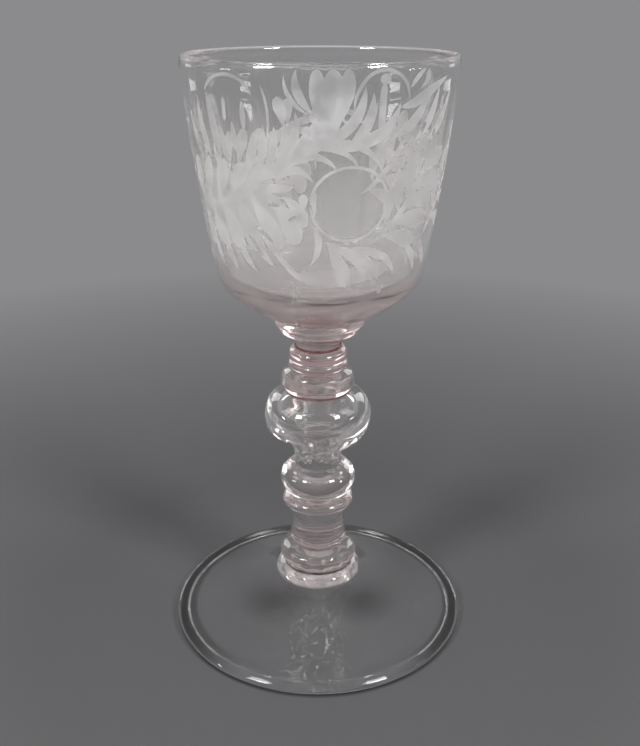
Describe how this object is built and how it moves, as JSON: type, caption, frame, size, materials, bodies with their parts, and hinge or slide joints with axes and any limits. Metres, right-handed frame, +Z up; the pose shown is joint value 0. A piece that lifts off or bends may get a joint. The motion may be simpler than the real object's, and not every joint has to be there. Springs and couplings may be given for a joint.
{
  "type": "stemmed wine goblet",
  "caption": "Clear glass wine goblet with an engraved round-funnel bowl, a composite baluster stem of knops and collars, and a wide conical folded foot.",
  "frame": {"origin": "centre of the circle on which the foot rests, on the table plane", "axes": "+Z up along the stem's axis towards the rim; the goblet is turned about Z, so X and Y are free"},
  "size_m": [0.1008, 0.1008, 0.19],
  "materials": {
    "clear_glass": "clear blown glass, very faintly grey, with engraved frosted foliage on the bowl",
    "pink_glass": "clear glass with a faint pink tint where it is thick"
  },
  "bodies": {
    "root": {"bowl": "clear_glass", "hollow_knop": "clear_glass", "ball_knop": "clear_glass", "lower_neck": "clear_glass", "foot": "clear_glass", "bowl_collar": "pink_glass", "neck_ring": "pink_glass", "shoulder_collar": "pink_glass", "ball_merese": "pink_glass", "neck_collar": "pink_glass", "base_knop": "pink_glass", "foot_merese": "pink_glass"}
  },
  "joints": []
}
